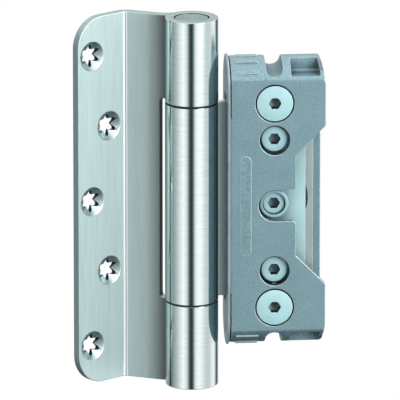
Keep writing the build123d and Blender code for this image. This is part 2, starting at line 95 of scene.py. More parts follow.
# the door leaf and its screw holes
INNER_FLAP_TURN = math.radians(25.6)
OUTER_FLAP_TURN = math.radians(35)
FOLD_POINT = Matrix.Rotation(-INNER_FLAP_TURN, 3, "Z") @ Vector((-30.0 * MM, -0.7 * MM, 0.0))
FLAP_FRONT = Vector((math.sin(OUTER_FLAP_TURN), -math.cos(OUTER_FLAP_TURN), 0.0))
FLAP_ACROSS = Vector((math.cos(OUTER_FLAP_TURN), math.sin(OUTER_FLAP_TURN), 0.0))
FOLD_WIDTH = 3 * MM
CUT_OUT_LEFT = -16 * MM
CUT_OUT_END = 44 * MM
SHEET_THICKNESS = 3.75 * MM
HOLE_PITCH = 31.65 * MM
HOLE_COLUMNS = (17.75 * MM, 8.55 * MM)
HOLE_AXES = [Vector((0.0, 0.0, row * HOLE_PITCH)) - FLAP_ACROSS * HOLE_COLUMNS[row % 2]
             for row in range(-2, 3)]
PLAIN_HOLE_RADIUS = 6.52 * MM
HOLE_FINISH_RADIUS = 6.9 * MM
HOLE_EDGE_RADIUS = 7 * MM
COUNTERSINK_SLOPE = 0.72

# the frame side
NECK_END = 16.5 * MM
HOUSING_FACE = -11.25 * MM
BACK_WALL = 51 * MM
WINDOW_HALF_DEPTH = 9 * MM
PLATE_FRONT = 5.85 * MM
PLATE_RELIEF = 0.06 * MM
SCREW_COLUMN = 34.2 * MM
LARGE_SCREW_HEIGHT = 44.5 * MM
HEIGHT_SPINDLE_HEIGHT = 28.5 * MM
HEIGHT_SPINDLE_FACE = -8.45 * MM
SIDE_SPINDLE_FACE = -6.25 * MM
LARGE_BORE_RADIUS = 8.4 * MM
SMALL_BORE_RADIUS = 6.6 * MM
BROKEN_MOUTH = 0.45 * MM
SOCKET_RADIUS = 3.0 * MM
SOCKET_SHARE = 0.92
SOCKET_DROP = 0.9 * MM


def linear(colour):
    """A Blender colour from an sRGB hex value."""
    parts = [int(colour.lstrip("#")[i:i + 2], 16) / 255 for i in (0, 2, 4)]
    return tuple(c / 12.92 if c <= 0.04045 else ((c + 0.055) / 1.055) ** 2.4 for c in parts) + (1.0,)


def add(tree, kind, inputs=(), **settings):
    """Adds a node with its settings; each input is given a value or linked to a socket."""
    node = tree.nodes.new(kind)
    for key, value in settings.items():
        setattr(node, key, value)
    for key, value in dict(inputs).items():
        if isinstance(value, bpy.types.NodeSocket):
            tree.links.new(value, node.inputs[key])
        else:
            node.inputs[key].default_value = value
    return node


def calculate(tree, operation, *values):
    """A number worked out from other numbers."""
    return add(tree, "ShaderNodeMath", dict(enumerate(values)), operation=operation).outputs[0]


def shade_steps(tree, value, stops):
    """A number that follows another number through given stops."""
    ramp = add(tree, "ShaderNodeValToRGB", {"Fac": value})
    elements = ramp.color_ramp.elements
    while len(elements) < len(stops):
        elements.new(0.5)
    for element, (place, shade) in zip(elements, stops):
        element.position = place
        element.color = (shade, shade, shade, 1.0)
    return ramp.outputs["Color"]


# Finishes


def new_finish(name, base, metallic, roughness):
    """A material with its shader, and the object coordinates that its patterns use."""
    material = bpy.data.materials.new(name)
    material.use_nodes = True
    tree = material.node_tree
    shader = tree.nodes["Principled BSDF"]
    shader.inputs["Base Color"].default_value = linear(base)
    shader.inputs["Metallic"].default_value = metallic
    shader.inputs["Roughness"].default_value = roughness
    place = add(tree, "ShaderNodeTexCoord").outputs["Object"]
    return material, tree, shader, place


def tint(tree, shader, dark, light, amount, painted_corner_shade=0.0, painted_edge_highlight=0.0, depth=2.0 * MM, clear=0.85):
    """Lets the base colour wander between two close shades.

    Its corner amount paints shade into corners up to that depth, so that joints and recesses stand out, and
    places with at least that clear share of open room keep their colour. Its edge amount brightens edges with
    a painted highlight.
    """
    colour = add(tree, "ShaderNodeMix", {"Factor": amount, "A": linear(dark), "B": linear(light)},
                 data_type="RGBA").outputs["Result"]
    if painted_corner_shade:
        # painted shade: the colour darkens where little open room is around, as in corners and recesses
        open_sky = add(tree, "ShaderNodeAmbientOcclusion", {"Distance": depth}, samples=6).outputs["AO"]
        painted_shade_factor = add(tree, "ShaderNodeMapRange", {"Value": open_sky, "From Min": 0.15, "From Max": clear,
                                                 "To Min": 1.0 - painted_corner_shade}).outputs["Result"]
        colour = add(tree, "ShaderNodeVectorMath", {0: colour, "Scale": painted_shade_factor},
                     operation="SCALE").outputs["Vector"]
    if painted_edge_highlight:
        # painted highlight: the colour turns almost white along rounded edges
        rounded = add(tree, "ShaderNodeBevel", {"Radius": 0.45 * MM}, samples=4).outputs["Normal"]
        normal = add(tree, "ShaderNodeNewGeometry").outputs["Normal"]
        facing = add(tree, "ShaderNodeVectorMath", {0: rounded, 1: normal},
                     operation="DOT_PRODUCT").outputs["Value"]
        edge = add(tree, "ShaderNodeMapRange", {"Value": facing, "From Min": 0.99, "From Max": 0.9,
                                                "To Max": painted_edge_highlight}).outputs["Result"]
        colour = add(tree, "ShaderNodeMix", {"Factor": edge, "A": colour, "B": linear("#F2F8F8")},
                     data_type="RGBA").outputs["Result"]
    tree.links.new(colour, shader.inputs["Base Color"])


def relief(tree, shader, height, distance, strength):
    """Surface relief from a pattern, with its depth in metres."""
    bump = add(tree, "ShaderNodeBump", {"Height": height, "Distance": distance, "Strength": strength})
    tree.links.new(bump.outputs["Normal"], shader.inputs["Normal"])


def rough_between(tree, shader, low, high, amount):
    """Roughness that follows a pattern."""
    spread = add(tree, "ShaderNodeMapRange", {"Value": amount, "To Min": low, "To Max": high})
    tree.links.new(spread.outputs["Result"], shader.inputs["Roughness"])


def clouds(tree, place, scale, detail=2.0):
    """Even noise with no direction; 1000 gives grains about a millimetre wide."""
    return add(tree, "ShaderNodeTexNoise", {"Vector": place, "Scale": scale, "Detail": detail}).outputs["Fac"]


def streaks(tree, place, scale, detail=2.0):
    """Long fine scratches: noise squeezed across the brushing direction."""
    stretch = add(tree, "ShaderNodeMapping", {"Vector": place, "Scale": scale}, vector_type="POINT")
    return add(tree, "ShaderNodeTexNoise", {"Vector": stretch.outputs["Vector"], "Scale": 1.0,
                                            "Detail": detail, "Roughness": 0.6}).outputs["Fac"]


def across_pin(tree, place):
    """The place as seen along the pin, without its height."""
    return add(tree, "ShaderNodeVectorMath", {0: place, 1: (1.0, 1.0, 0.0)},
               operation="MULTIPLY").outputs["Vector"]


def from_pin(tree, flat):
    """The distance of such a place from the pin's axis."""
    return add(tree, "ShaderNodeVectorMath", {0: flat}, operation="LENGTH").outputs["Value"]


def flap_steel(name, dark, light, roughness, spread):
    """Stainless sheet brushed along the pin: upright hairlines spread its gloss sideways.

    It is painted darker towards the knuckles, as shade from the barrel, so that the flap seems to lie back
    behind the barrel.
    """
    material, tree, shader, place = new_finish(name, "#C4D4D3", 1.0, roughness)
    shader.inputs["Anisotropic"].default_value = spread
    normal = add(tree, "ShaderNodeNewGeometry").outputs["Normal"]
    across = add(tree, "ShaderNodeVectorMath", {0: (0.0, 0.0, 1.0), 1: normal}, operation="CROSS_PRODUCT")
    tree.links.new(across.outputs["Vector"], shader.inputs["Tangent"])
    # hairlines 0.1 mm apart are drawn 0.4 mm apart, so that they show
    fine = streaks(tree, place, (2500.0, 2500.0, 55.0), 3.0)
    broad = streaks(tree, place, (420.0, 420.0, 14.0))
    both = calculate(tree, "MULTIPLY_ADD", fine, 0.7, calculate(tree, "MULTIPLY", broad, 0.3))
    # painted shade: the colour darkens towards the pin, as in the barrel's shade
    distance = from_pin(tree, across_pin(tree, place))
    part = calculate(tree, "DIVIDE", distance, 60.0 * MM)
    reach = shade_steps(tree, part, [(0.2, 0.2), (0.25, 0.42), (0.34, 0.8), (0.46, 0.88), (0.52, 1.0)])
    bright = add(tree, "ShaderNodeMix", {"Factor": both, "A": linear(dark), "B": linear(light)},
                 data_type="RGBA").outputs["Result"]
    with_painted_shade = add(tree, "ShaderNodeVectorMath", {0: bright, "Scale": reach},
                 operation="SCALE").outputs["Vector"]
    tree.links.new(with_painted_shade, shader.inputs["Base Color"])
    rough_between(tree, shader, roughness - 0.08, roughness + 0.08, fine)
    relief(tree, shader, fine, 0.004 * MM, 0.5)
    return material


def knuckle_steel():
    """Ground stainless barrel: marks run round it, so reflections keep upright, sharp edges."""
    material, tree, shader, place = new_finish("ground_stainless_barrel", "#C8D6D5", 1.0, 0.17)
    shader.inputs["Anisotropic"].default_value = 0.7
    upright = add(tree, "ShaderNodeCombineXYZ", {"Z": 1.0}).outputs["Vector"]
    tree.links.new(upright, shader.inputs["Tangent"])
    # grinding marks 0.05 mm apart are drawn 0.35 mm apart, so that they show
    fine = streaks(tree, place, (160.0, 160.0, 3000.0), 3.0)
    tint(tree, shader, "#B6C8C7", "#DDE8E7", fine)
    rough_between(tree, shader, 0.13, 0.21, fine)
    relief(tree, shader, fine, 0.003 * MM, 0.6)
    return material


def cut_steel():
    """Sheared and milled sheet edges: a little darker and duller than the brushed faces."""
    material, tree, shader, place = new_finish("milled_stainless_edge", "#A9B9BA", 0.85, 0.5)
    grain = streaks(tree, place, (900.0, 900.0, 900.0), 3.0)
    # painted shade in the corners and a painted highlight along the edges
    tint(tree, shader, "#879B9C", "#A7B9B9", grain, painted_corner_shade=0.7, painted_edge_highlight=0.7)
    relief(tree, shader, grain, 0.006 * MM, 0.5)
    return material


def rolled_steel(name, dark, light, painted_corner_shade):
    """Rolled stainless plate of the flag: plain mill finish, with a soft even gloss.

    The neck beside the barrel is painted brighter, as painted light in the deep gap between barrel and
    housing, and the rest gets painted shade towards its corners.
    """
    material, tree, shader, place = new_finish(name, light, 1.0, 0.4)
    grain = streaks(tree, place, (500.0, 500.0, 60.0), 3.0)
    # painted shade in the corners and a painted highlight along the edges
    tint(tree, shader, dark, light, grain, painted_corner_shade=painted_corner_shade, painted_edge_highlight=0.5)
    rough_between(tree, shader, 0.34, 0.46, grain)
    relief(tree, shader, grain, 0.004 * MM, 0.4)
    return material


def turned_steel():
    """Faced end of a turned plug: rings about the pin fan its gloss out from the centre."""
    material, tree, shader, place = new_finish("turned_stainless", "#B2C4C4", 1.0, 0.38)
    shader.inputs["Anisotropic"].default_value = 0.5
    flat = across_pin(tree, place)
    outward = add(tree, "ShaderNodeVectorMath", {0: flat}, operation="NORMALIZE").outputs["Vector"]
    tree.links.new(outward, shader.inputs["Tangent"])
    distance = from_pin(tree, flat)
    # tool marks 0.08 mm apart are drawn 0.4 mm apart, so that they show
    along = calculate(tree, "MULTIPLY", distance, 2500.0)
    rings = add(tree, "ShaderNodeTexNoise", {"W": along, "Scale": 1.0, "Detail": 2.0},
                noise_dimensions="1D").outputs["Fac"]
    # painted shade in the corners
    tint(tree, shader, "#7A9292", "#9FB5B5", rings, painted_corner_shade=0.7)
    relief(tree, shader, rings, 0.003 * MM, 0.5)
    return material


def plated_steel(name, dark, light, roughness, metallic=0.25):
    """Blue-passivated zinc on turned steel: pale, satin, with faint clouding.

    Sockets and bores get it nearly black, as painted shade, so that they look deep.
    """
    material, tree, shader, place = new_finish(name, light, metallic, roughness)
    cloud = clouds(tree, place, 260.0, 3.0)
    # painted shade in the corners and a painted highlight along the edges
    tint(tree, shader, dark, light, cloud, painted_corner_shade=0.8, painted_edge_highlight=0.3, depth=4.0 * MM, clear=0.8)
    marks = clouds(tree, place, 2200.0)
    rough_between(tree, shader, roughness - 0.06, roughness + 0.06, marks)
    relief(tree, shader, marks, 0.004 * MM, 0.4)
    return material


def cast_zinc(name, dark, light):
    """Zinc die casting under a satin blue-grey coat: the coat follows a fine blasted grain.

    The back wall of its window gets darker shades, a painted shade, so that the window looks deep.
    """
    material, tree, shader, place = new_finish(name, light, 0.6, 0.42)
    # grains of 0.1 mm are drawn 0.4 mm wide, so that they show
    grit = add(tree, "ShaderNodeTexNoise", {"Vector": place, "Scale": 2050.0, "Detail": 4.0,
                                            "Roughness": 0.65}).outputs["Fac"]
    cloud = clouds(tree, place, 90.0)
    speckle = shade_steps(tree, grit, [(0.36, 0.0), (0.64, 1.0)])
    both = calculate(tree, "MULTIPLY_ADD", speckle, 0.7, calculate(tree, "MULTIPLY", cloud, 0.3))
    # painted shade in the corners and a painted highlight along the edges
    tint(tree, shader, dark, light, both, painted_corner_shade=0.85, painted_edge_highlight=0.6, depth=6.0 * MM, clear=0.95)
    rough_between(tree, shader, 0.34, 0.5, grit)
    relief(tree, shader, grit, 0.03 * MM, 0.6)
    return material


def pale_casting():
    """Smooth zinc casting with a pale clear passivation, in the carriage."""
    material, tree, shader, place = new_finish("pale_zinc_casting", "#ACD0D2", 0.3, 0.42)
    cloud = clouds(tree, place, 150.0, 3.0)
    # painted shade in the corners and a painted highlight along the edges
    tint(tree, shader, "#A0C9CC", "#B6DADC", cloud, painted_corner_shade=0.9, painted_edge_highlight=0.4, depth=9.0 * MM, clear=1.0)
    grain = clouds(tree, place, 1500.0)
    relief(tree, shader, grain, 0.01 * MM, 0.3)
    return material


def coated_sheet():
    """Thin steel plate with the housing's coat, smoother because it is rolled and not cast."""
    material, tree, shader, place = new_finish("coated_steel_sheet", "#7E9CA7", 0.3, 0.4)
    grain = streaks(tree, place, (700.0, 700.0, 90.0), 3.0)
    # painted shade in the corners and a painted highlight along the edges
    tint(tree, shader, "#567580", "#86A4AE", grain, painted_corner_shade=0.7, painted_edge_highlight=0.75)
    relief(tree, shader, grain, 0.008 * MM, 0.3)
    return material


def bearing_plastic():
    """Black sliding plastic of the bushes: moulded, with a dull sheen."""
    material, tree, shader, place = new_finish("black_sliding_plastic", "#101314", 0.0, 0.45)
    grain = clouds(tree, place, 1200.0)
    tint(tree, shader, "#0B0E0F", "#171B1C", grain)
    relief(tree, shader, grain, 0.006 * MM, 0.3)
    return material


def spring_steel():
    """Phosphated spring steel of the retaining rings: near black with a soft gloss."""
    material, tree, shader, place = new_finish("phosphated_spring_steel", "#2B2F30", 0.7, 0.4)
    grain = clouds(tree, place, 1800.0)
    tint(tree, shader, "#222627", "#363B3C", grain)
    relief(tree, shader, grain, 0.005 * MM, 0.3)
    return material


finishes = {}


def finish(name):
    """The material of that finish, made once."""
    makers = {
        "flap": lambda: flap_steel("brushed_stainless_sheet", "#A8C2C2", "#DFF0F0", 0.55, 0.55),
        # the fold gets near-white shades: a painted highlight along the bend
        "fold": lambda: flap_steel("stainless_fold_painted_highlight", "#E2F0F0", "#F4FAFA", 0.34, 0.2),
        "knuckle": knuckle_steel,
        "edge": cut_steel,
        "rolled": lambda: rolled_steel("rolled_stainless_plate", "#A1B2AF", "#BFCDCA", 0.75),
        # the neck gets near-white shades: painted light in its deep gap
        "neck": lambda: rolled_steel("stainless_neck_painted_light", "#EAF3F2", "#FAFDFD", 0.0),
        "turned": turned_steel,
        # near-black shades: painted shade in sockets and narrow gaps
        "socket": lambda: plated_steel("socket_steel_painted_shade", "#0B1113", "#1C272A", 0.32, 0.6),
        "sunk": lambda: plated_steel("countersunk_stainless", "#A4B8B9", "#C8D9D9", 0.32, 1.0),
        "disc": lambda: plated_steel("zinc_plated_disc", "#8FB8BC", "#9FC6CA", 0.6, 0.12),
        "spindle": lambda: plated_steel("zinc_plated_spindle", "#88B2BA", "#9EC7CD", 0.5, 0.25),
        # a little darker than the other plated parts: painted shade
        "collar": lambda: plated_steel("zinc_plated_collar_painted_shade", "#7FA3AA", "#97B8BE", 0.42),
        "plated": lambda: plated_steel("zinc_plated_steel", "#8DAFB5", "#A6C5C9", 0.42),
        "cast": lambda: cast_zinc("coated_zinc_casting", "#58767F", "#90B1BA"),
        # darker shades of the casting: painted shade on the back wall
        "wall": lambda: cast_zinc("coated_zinc_back_wall_painted_shade", "#2F4550", "#6C8B96"),
        "pale": pale_casting,
        "sheet": coated_sheet,
        "plastic": bearing_plastic,
        # near-black shades: painted shade in the bores
        "bore": lambda: plated_steel("bore_painted_shade", "#161F22", "#2A373B", 0.5, 0.2),
        "spring": spring_steel,
    }
    if name not in finishes:
        finishes[name] = makers[name]()
    return finishes[name]


# Meshes


def new_piece(name, mesh):
    """An object at the origin for a finished mesh."""
    piece = bpy.data.objects.new(name, mesh)
    bpy.context.scene.collection.objects.link(piece)
    return piece


def plain_result(piece):
    """The piece with its modifiers made into its mesh."""
    graph = bpy.context.evaluated_depsgraph_get()
    mesh = bpy.data.meshes.new_from_object(piece.evaluated_get(graph), preserve_all_data_layers=True,
                                           depsgraph=graph)
    piece.modifiers.clear()
    piece.data = mesh
    return piece


def merged_copy(node):
    """A mesh copy of a CAD node: its triangles joined, with each flat face whole."""
    mesh = frame["nodes"][node].data.copy()
    mesh.materials.clear()
    if mesh.has_custom_normals:
        mesh.attributes.remove(mesh.attributes["custom_normal"])
    work = bmesh.new()
    work.from_mesh(mesh)
    bmesh.ops.remove_doubles(work, verts=work.verts, dist=MERGE_DISTANCE)
    bmesh.ops.dissolve_limit(work, angle_limit=FLAT_ANGLE, verts=work.verts, edges=work.edges)
    for face in work.faces:
        face.smooth = True
    work.to_mesh(mesh)
    work.free()
    return mesh


def room_beside(edge, sharp):
    """How wide the rounding of a sharp edge may be before it meets another edge."""
    start = edge.verts[0].co
    along = (edge.verts[1].co - start).normalized()

    def aside(corner):
        away = corner.co - start
        return (away - along * away.dot(along)).length

    room = min(max(aside(corner) for corner in face.verts) for face in edge.link_faces)
    for end in edge.verts:
        for other in end.link_edges:
            if other is edge or other not in sharp:
                continue
            turn = along.angle(other.verts[1].co - other.verts[0].co)
            if min(turn, math.pi - turn) > CORNER_ANGLE:
                room = min(room, edge.calc_length())
    return room * ROOM_SHARE


def broken_edges(piece, width, keep=None):
    """Rounds the piece's sharp edges, and less where a small feature leaves little room.

    keep says which places stay as they are.
    """
    work = bmesh.new()
    work.from_mesh(piece.data)
    weight = work.edges.layers.float.new("bevel_weight_edge")
    sharp = {edge for edge in work.edges if edge.is_manifold and edge.calc_face_angle(0.0) > SHARP_ANGLE}
    for edge in sharp:
        if keep is None or not keep((edge.verts[0].co + edge.verts[1].co) / 2):
            edge[weight] = min(1.0, room_beside(edge, sharp) / width)
    work.to_mesh(piece.data)
    work.free()
    bevel = piece.modifiers.new("broken edges", "BEVEL")
    bevel.width = width
    bevel.segments = EDGE_SEGMENTS
    bevel.limit_method = "WEIGHT"
    bevel.use_clamp_overlap = False
    plain_result(piece)
    piece.data.set_sharp_from_angle(angle=SHARP_ANGLE)
    level = piece.modifiers.new("flat faces", "WEIGHTED_NORMAL")
    level.keep_sharp = True
    level.weight = 100
    return plain_result(piece)


def dress(node, width, *finish_names):
    """A copy of a CAD node with rounded edges and its finishes, in place of the node."""
    piece = new_piece(node + "_dressed", merged_copy(node))
    give(piece, *finish_names)
    if width:
        broken_edges(piece, width)
    return hand_over(piece, node)


def hand_over(piece, node):
    """Puts the piece on the CAD node's body, in its place, and hides the node."""
    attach(piece, frame["nodes"][node]["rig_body"])
    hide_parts(node)
    return piece


def give(piece, *finish_names):
    """Puts the named finishes in the piece's material slots."""
    piece.data.materials.clear()
    for name in finish_names:
        piece.data.materials.append(finish(name))


def paint_by(piece, choose):
    """Gives each face the material index that choose works out from its centre and normal.

    Where choose compares a part of the normal with a number, that number is a cosine.
    """
    for face in piece.data.polygons:
        face.material_index = choose(face.center, face.normal)


# Turned pieces and holes, made by Geometry Nodes


def new_tree(name, sizes):
    """A Geometry Nodes tree with a named input for each size, and its input sockets inside."""
    tree = bpy.data.node_groups.new(name, "GeometryNodeTree")
    tree.interface.new_socket("Geometry", in_out="OUTPUT", socket_type="NodeSocketGeometry")
    for label, default in sizes.items():
        kind = "NodeSocketInt" if isinstance(default, int) else "NodeSocketFloat"
        tree.interface.new_socket(label, in_out="INPUT", socket_type=kind).default_value = default
    tree.interface.new_socket("Material", in_out="INPUT", socket_type="NodeSocketMaterial")
    return tree, add(tree, "NodeGroupInput").outputs


def end_tree(tree, given, geometry):
    """Ends a tree in real, finished geometry."""
    real = add(tree, "GeometryNodeRealizeInstances", {"Geometry": geometry}).outputs[0]
    painted = add(tree, "GeometryNodeSetMaterial", {"Geometry": real,
                                                    "Material": given["Material"]}).outputs[0]
    add(tree, "NodeGroupOutput", {"Geometry": painted})


def turned_profile(tree, given, rows, outline):
    """A closed shape turned about Y, facing -Y, from rows between two points on its axis.

    A row has a radius and a depth, and how much of the outline's own radius is added to each.
    Each of the four is a list of (input, factor), and a factor alone stands for itself.
    """
    def total(terms):
        value = 0.0
        for label, factor in terms:
            value = calculate(tree, "MULTIPLY_ADD", given[label] if label else 1.0, factor, value)
        return value

    def by_row(values):
        switch = add(tree, "GeometryNodeIndexSwitch", data_type="FLOAT")
        while len(switch.index_switch_items) < len(values):
            switch.index_switch_items.new()
        tree.links.new(row, switch.inputs["Index"])
        for number, value in enumerate(values):
            if isinstance(value, bpy.types.NodeSocket):
                tree.links.new(value, switch.inputs[number + 1])
            else:
                switch.inputs[number + 1].default_value = value
        return switch.outputs[0]

    columns = calculate(tree, "ADD", given["Segments"], 1.0)
    grid = add(tree, "GeometryNodeMeshGrid", {"Size X": 1.0, "Size Y": 1.0, "Vertices X": columns,
                                              "Vertices Y": len(rows)}).outputs["Mesh"]
    spot = add(tree, "ShaderNodeSeparateXYZ", {0: add(tree, "GeometryNodeInputPosition").outputs[0]}).outputs
    share = calculate(tree, "ADD", spot["Y"], 0.5)
    row = calculate(tree, "ROUND", calculate(tree, "MULTIPLY", share, float(len(rows) - 1)))
    turn = calculate(tree, "MULTIPLY", calculate(tree, "ADD", spot["X"], 0.5), math.tau)
    wave = outline(tree, given, turn)
    plain_radius, plain_depth, wave_radius, wave_depth = (
        by_row([total(line[part]) for line in rows]) for part in range(4))
    radius = calculate(tree, "MULTIPLY_ADD", wave, wave_radius, plain_radius)
    depth = calculate(tree, "MULTIPLY_ADD", wave, wave_depth, plain_depth)
    x = calculate(tree, "MULTIPLY_ADD", radius, calculate(tree, "COSINE", turn), given["Column"])
    y = calculate(tree, "ADD", given["Face"], depth)
    z = calculate(tree, "MULTIPLY_ADD", radius, calculate(tree, "SINE", turn), given["Height"])
    place = add(tree, "ShaderNodeCombineXYZ", {"X": x, "Y": y, "Z": z}).outputs[0]
    moved = add(tree, "GeometryNodeSetPosition", {"Geometry": grid, "Position": place}).outputs[0]
    closed = add(tree, "GeometryNodeMergeByDistance", {"Geometry": moved, "Distance": MERGE_DISTANCE})
    return closed.outputs[0]


def from_lobe(tree, turn):
    """The angle from the nearest middle between two of six points, the first at the right."""
    part = calculate(tree, "FLOORED_MODULO", turn, math.tau / 6)
    return calculate(tree, "SUBTRACT", part, math.tau / 12)


def hexagon(tree, given, turn):
    """Radius of a hexagon whose flats are one unit from its centre."""
    return calculate(tree, "DIVIDE", 1.0, calculate(tree, "COSINE", from_lobe(tree, turn)))


def star(tree, given, turn):
    """Radius of an opening with six rounded points, the first at the top, and rounded lobes between."""
    tip, waist = given["Tip Radius"], given["Waist Radius"]
    wave = calculate(tree, "COSINE", calculate(tree, "MULTIPLY", turn, 6.0))
    mean = calculate(tree, "MULTIPLY", calculate(tree, "ADD", tip, waist), 0.5)
    swing = calculate(tree, "MULTIPLY", calculate(tree, "SUBTRACT", waist, tip), 0.5)
    return calculate(tree, "MULTIPLY_ADD", wave, swing, mean)


def turned_piece(name, tree, material, **values):
    """A plain mesh made by a turning tree with the given sizes."""
    piece = new_piece(name, bpy.data.meshes.new(name))
    modifier = piece.modifiers.new("turned", "NODES")
    modifier.node_group = tree
    sockets = {s.name: s.identifier for s in tree.interface.items_tree if s.in_out == "INPUT"}
    for label, value in values.items():
        modifier[sockets[label.replace("_", " ")]] = value
    modifier[sockets["Material"]] = material
    plain_result(piece)
    work = bmesh.new()
    work.from_mesh(piece.data)
    bmesh.ops.remove_doubles(work, verts=work.verts, dist=MERGE_DISTANCE)
    bmesh.ops.recalc_face_normals(work, faces=work.faces)
    work.to_mesh(piece.data)
    work.free()
    piece.data.shade_smooth()
    piece.data.set_sharp_from_angle(angle=SHARP_ANGLE)
    return piece


def socket_rows():
    """The hexagon socket's rows, from its drilled centre to the head's face."""
    flats = [("Across Flats", 0.5)]
    return [
        ([], [("Socket Depth", 1.0), ("Drill Point", 1.0)], [], []),
        ([("Across Flats", 0.42)], [("Socket Depth", 1.0)], [], []),
        ([], [("Socket Depth", 1.0)], flats, []),
        ([], [("Mouth Depth", 1.0)], flats, []),
        ([("Across Flats", 0.57)], [], [], []),
    ]


def screw_tree():
    """A flat-headed adjusting screw with a hexagon socket and a plain shank."""
    tree, given = new_tree("turned_screw", {
        "Segments": 72, "Column": SCREW_COLUMN, "Height": 0.0, "Face": HOUSING_FACE,
        "Across Flats": 4.6 * MM, "Socket Depth": 4.2 * MM, "Drill Point": 1.1 * MM, "Mouth Depth": 0.3 * MM,
        "Head Radius": 7.65 * MM, "Edge Break": 0.25 * MM, "Head Thickness": 2.5 * MM,
        "Shank Radius": 3.0 * MM, "Length": 24.0 * MM,
    })
    head = [
        ([("Head Radius", 1.0), ("Edge Break", -1.0)], [], [], []),
        ([("Head Radius", 1.0), ("Edge Break", -0.3)], [("Edge Break", 0.3)], [], []),
        ([("Head Radius", 1.0)], [("Edge Break", 1.0)], [], []),
        ([("Head Radius", 1.0)], [("Head Thickness", 1.0)], [], []),
        ([("Shank Radius", 1.0)], [("Head Thickness", 1.0)], [], []),
        ([("Shank Radius", 1.0)], [("Length", 1.0)], [], []),
        ([], [("Length", 1.0)], [], []),
    ]
    end_tree(tree, given, turned_profile(tree, given, socket_rows() + head, hexagon))
    return tree


def star_hole_tree():
    """What is cut out for the screw holes: countersinks above star openings, in two columns."""
    tree, given = new_tree("star_holes", {
        "Segments": 96, "Column": -HOLE_COLUMNS[0], "Height": -2 * HOLE_PITCH, "Face": 0.0,
        "Rim Radius": 6.15 * MM, "Rim Break": 0.22 * MM, "Tip Radius": 4.9 * MM, "Waist Radius": 2.8 * MM,
        "Lip": 0.12 * MM, "Thickness": SHEET_THICKNESS, "Proud": 1.0 * MM,
        "Count": len(HOLE_AXES), "Pitch": HOLE_PITCH, "Stagger": HOLE_COLUMNS[0] - HOLE_COLUMNS[1],
    })
    rim, lip, whole = ("Rim Radius", 1.0), ("Lip", 1.0), [("", 1.0)]
    slope = COUNTERSINK_SLOPE
    rows = [
        ([], [("Proud", -1.0)], [], []),
        ([rim, ("Rim Break", 1.0)], [("Proud", -1.0)], [], []),
        ([rim, ("Rim Break", 1.0)], [], [], []),
        ([rim, ("Rim Break", 0.3)], [("Rim Break", 0.3)], [], []),
        ([rim, ("Rim Break", -1.0)], [("Rim Break", 1.0)], [], []),
        ([lip], [("Rim Radius", slope), ("Lip", -slope)], whole, [("", -slope)]),
        ([], [("Rim Radius", slope), ("Lip", slope)], whole, [("", -slope)]),
        ([], [("Thickness", 1.0), ("Lip", -1.0)], whole, []),
        ([lip], [("Thickness", 1.0)], whole, []),
        ([lip], [("Thickness", 1.0), ("Proud", 1.0)], whole, []),
        ([], [("Thickness", 1.0), ("Proud", 1.0)], [], []),
    ]
    hole = turned_profile(tree, given, rows, star)
    step = add(tree, "ShaderNodeCombineXYZ", {"Z": given["Pitch"]}).outputs[0]
    places = add(tree, "GeometryNodeMeshLine", {"Count": given["Count"], "Offset": step}).outputs[0]
    odd = calculate(tree, "MODULO", add(tree, "GeometryNodeInputIndex").outputs[0], 2.0)
    across = calculate(tree, "MULTIPLY", odd, given["Stagger"])
    aside = add(tree, "ShaderNodeCombineXYZ", {"X": across}).outputs[0]
    staggered = add(tree, "GeometryNodeSetPosition", {"Geometry": places, "Offset": aside}).outputs[0]
    holes = add(tree, "GeometryNodeInstanceOnPoints", {"Points": staggered, "Instance": hole}).outputs[0]
    end_tree(tree, given, holes)
    return tree


# Settings and operators


class HingeSizes(bpy.types.PropertyGroup):
    """Sizes that a user may change."""

    leaf_edge: FloatProperty(name="Leaf edge", description="Rounding of the door leaf's edges",
                             default=0.35 * MM, min=0.0, unit="LENGTH")
    housing_edge: FloatProperty(name="Housing edge", description="Rounding of the casting's edges",
                                default=0.4 * MM, min=0.0, unit="LENGTH")
    small_edge: FloatProperty(name="Small edge", description="Rounding of the small pieces' edges",
                              default=0.15 * MM, min=0.0, unit="LENGTH")
    screw_segments: IntProperty(name="Screw segments",
                                description="Sides of a turned screw, six or a multiple", default=72, min=12)


class StudioSettings(bpy.types.PropertyGroup):
    """Camera, floor and light."""

    azimuth: FloatProperty(name="Azimuth", description="The camera's angle round the hinge",
                           default=math.radians(-5), subtype="ANGLE")
    elevation: FloatProperty(name="Elevation", description="The camera's angle above the horizon",
                             default=math.radians(15.4), subtype="ANGLE")
    distance: FloatProperty(name="Distance", description="From the camera to the hinge",
                            default=3.6, unit="LENGTH")
    frame_width: FloatProperty(name="Frame width", description="Width of the view at the hinge",
                               default=168.9 * MM, unit="LENGTH")
    floor_drop: FloatProperty(name="Floor drop", description="How far the floor lies below the pin's middle",
                              default=0.45, unit="LENGTH")
    key_light: FloatProperty(name="Key light", description="Strength of the upper lamp",
                             default=0.4, subtype="POWER")
    fill_light: FloatProperty(name="Fill light", description="Strength of the lamp at the right",
                              default=5.0, subtype="POWER")
    floor_colour: StringProperty(name="Floor colour", description="sRGB hex value of the floor",
                                 default="#F4F5F5")


def near_hole(spot, radius):
    """Whether a place on the leaf is within a radius of a screw hole's axis."""
    away = spot - FOLD_POINT
    flat = away - FLAP_FRONT * away.dot(FLAP_FRONT)
    return any((flat - axis).length < radius for axis in HOLE_AXES)


